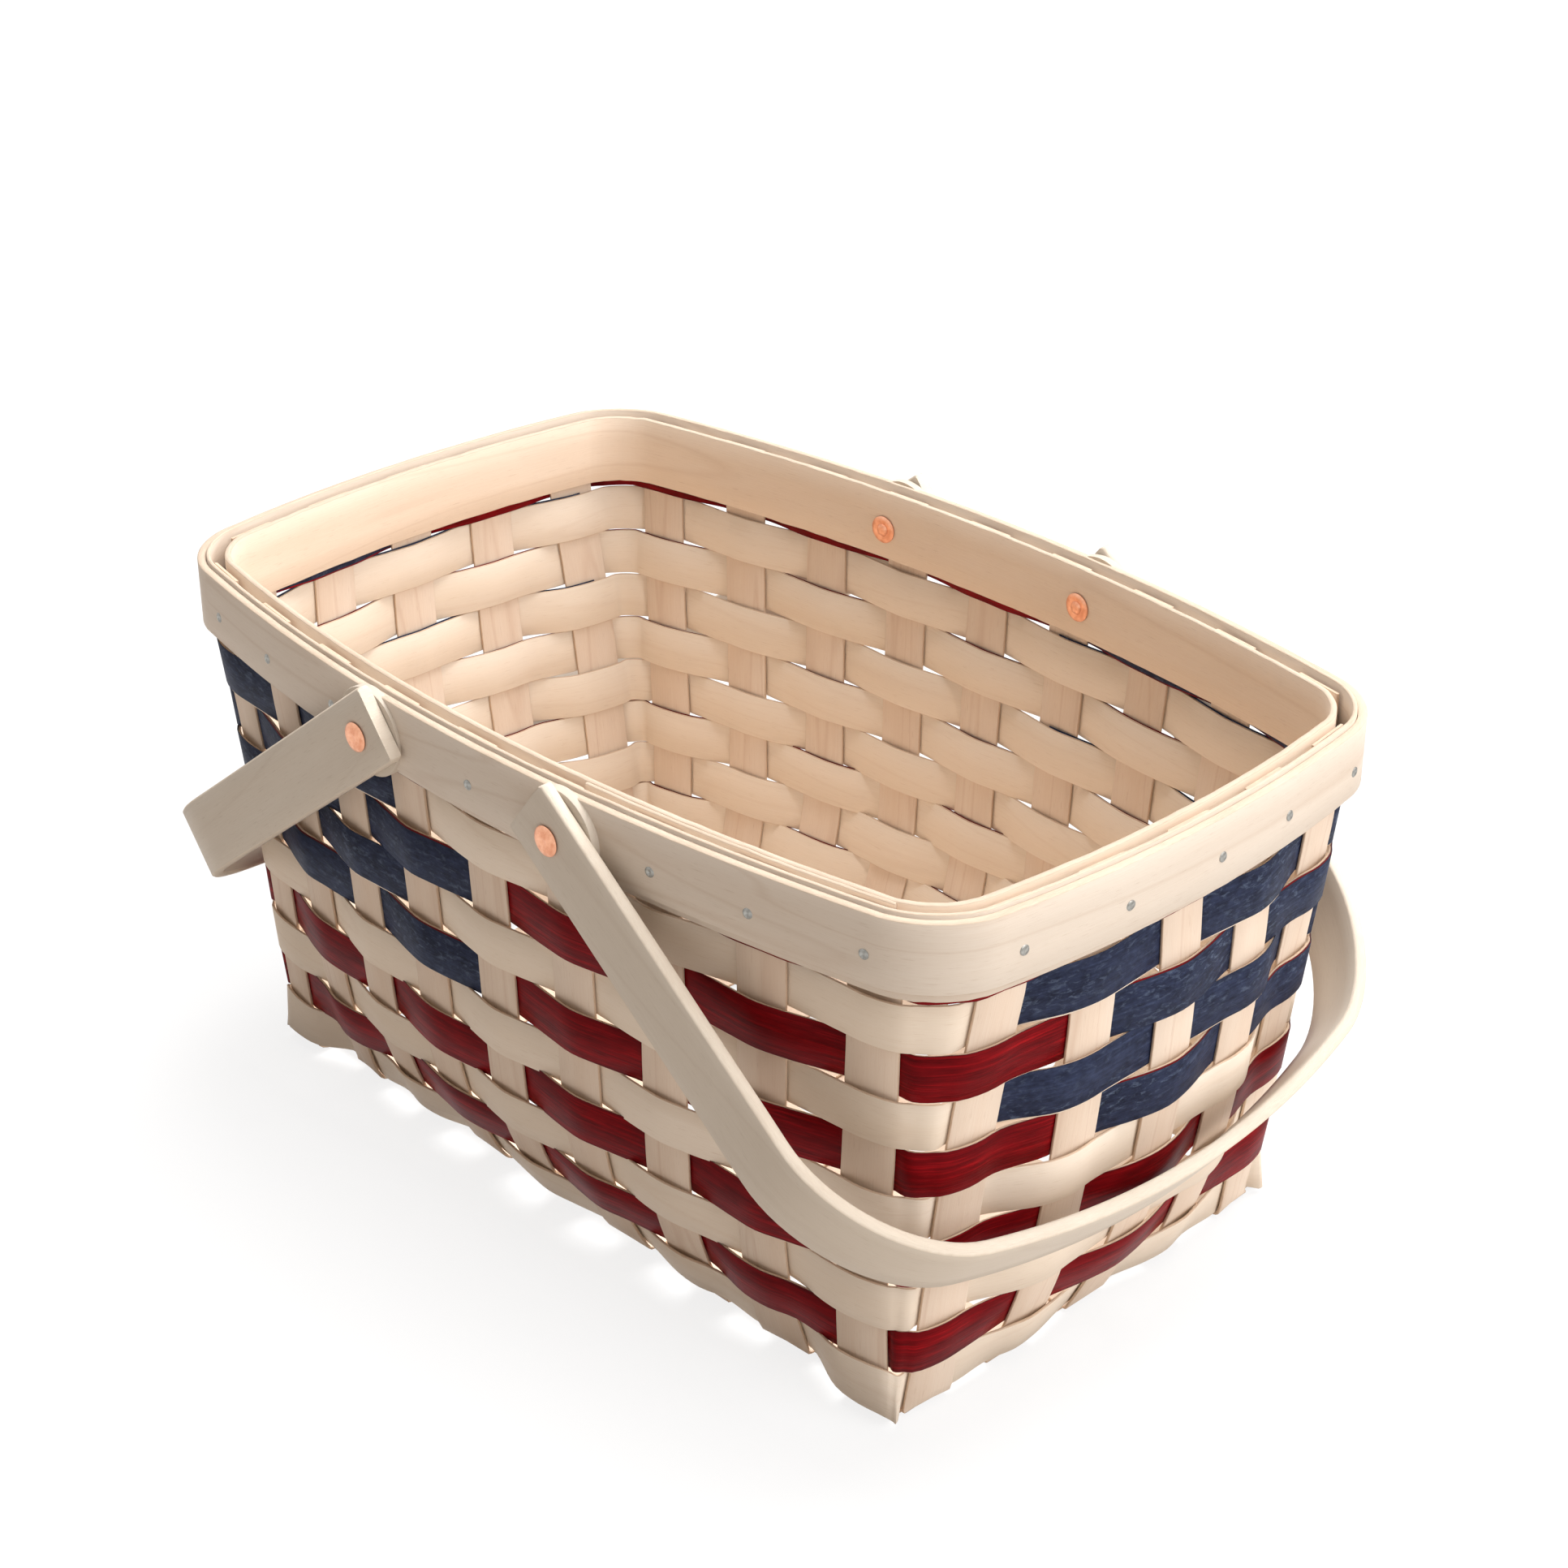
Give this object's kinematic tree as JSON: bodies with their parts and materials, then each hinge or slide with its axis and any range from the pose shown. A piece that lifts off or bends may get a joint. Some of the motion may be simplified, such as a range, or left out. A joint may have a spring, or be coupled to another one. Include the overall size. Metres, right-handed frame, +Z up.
{
  "type": "market basket",
  "caption": "Rectangular woven splint basket with bowed sides, a riveted wooden rim and a pair of bent wood swing handles that hang over its short ends.",
  "frame": {"origin": "middle of the underside, on the surface that the basket stands on", "axes": "+X along the basket's length, towards one short end; +Y across it, towards one long side; +Z up"},
  "size_m": [0.4136, 0.269, 0.2026],
  "materials": {
    "stake_wood": "matte",
    "natural_splint": "matte",
    "red_splint": "satin",
    "rim_wood": "satin",
    "handle_wood": "satin",
    "copper": "polished"
  },
  "bodies": {
    "basket": {"cross_stake_1": "stake_wood", "cross_stake_2": "stake_wood", "cross_stake_3": "stake_wood", "cross_stake_4": "stake_wood", "cross_stake_5": "stake_wood", "cross_stake_6": "stake_wood", "cross_stake_7": "stake_wood", "cross_stake_8": "stake_wood", "cross_stake_9": "stake_wood", "long_stake_1": "stake_wood", "long_stake_2": "stake_wood", "long_stake_3": "stake_wood", "long_stake_4": "stake_wood", "long_stake_5": "stake_wood", "weaver_01": "natural_splint", "weaver_02": "red_splint", "weaver_03": "natural_splint", "weaver_04": "red_splint", "weaver_05": "natural_splint", "weaver_06": "red_splint", "weaver_07": "natural_splint", "weaver_08": "red_splint", "weaver_09": "natural_splint", "weaver_10": "red_splint", "rim_outer_band": "rim_wood", "rim_backing_band": "rim_wood", "rim_inner_band": "rim_wood", "spacer_front_left": "handle_wood", "spacer_front_right": "handle_wood", "spacer_back_left": "handle_wood", "spacer_back_right": "handle_wood", "rivet_front_left": "copper", "rivet_front_right": "copper", "rivet_back_left": "copper", "rivet_back_right": "copper", "burr_front_left": "copper", "burr_front_right": "copper", "burr_back_left": "copper", "burr_back_right": "copper"},
    "right_handle": {"right_handle": "handle_wood"},
    "left_handle": {"left_handle": "handle_wood"}
  },
  "joints": [
    {"name": "right_handle_swing", "type": "hinge", "parent": "basket", "child": "right_handle", "pos_m": [0.0485, 0, 0.1843], "axis": [0, -1, 0], "range_deg": [0, 138]},
    {"name": "left_handle_swing", "type": "hinge", "parent": "basket", "child": "left_handle", "pos_m": [-0.0485, 0, 0.1843], "axis": [0, 1, 0], "range_deg": [0, 138]}
  ]
}
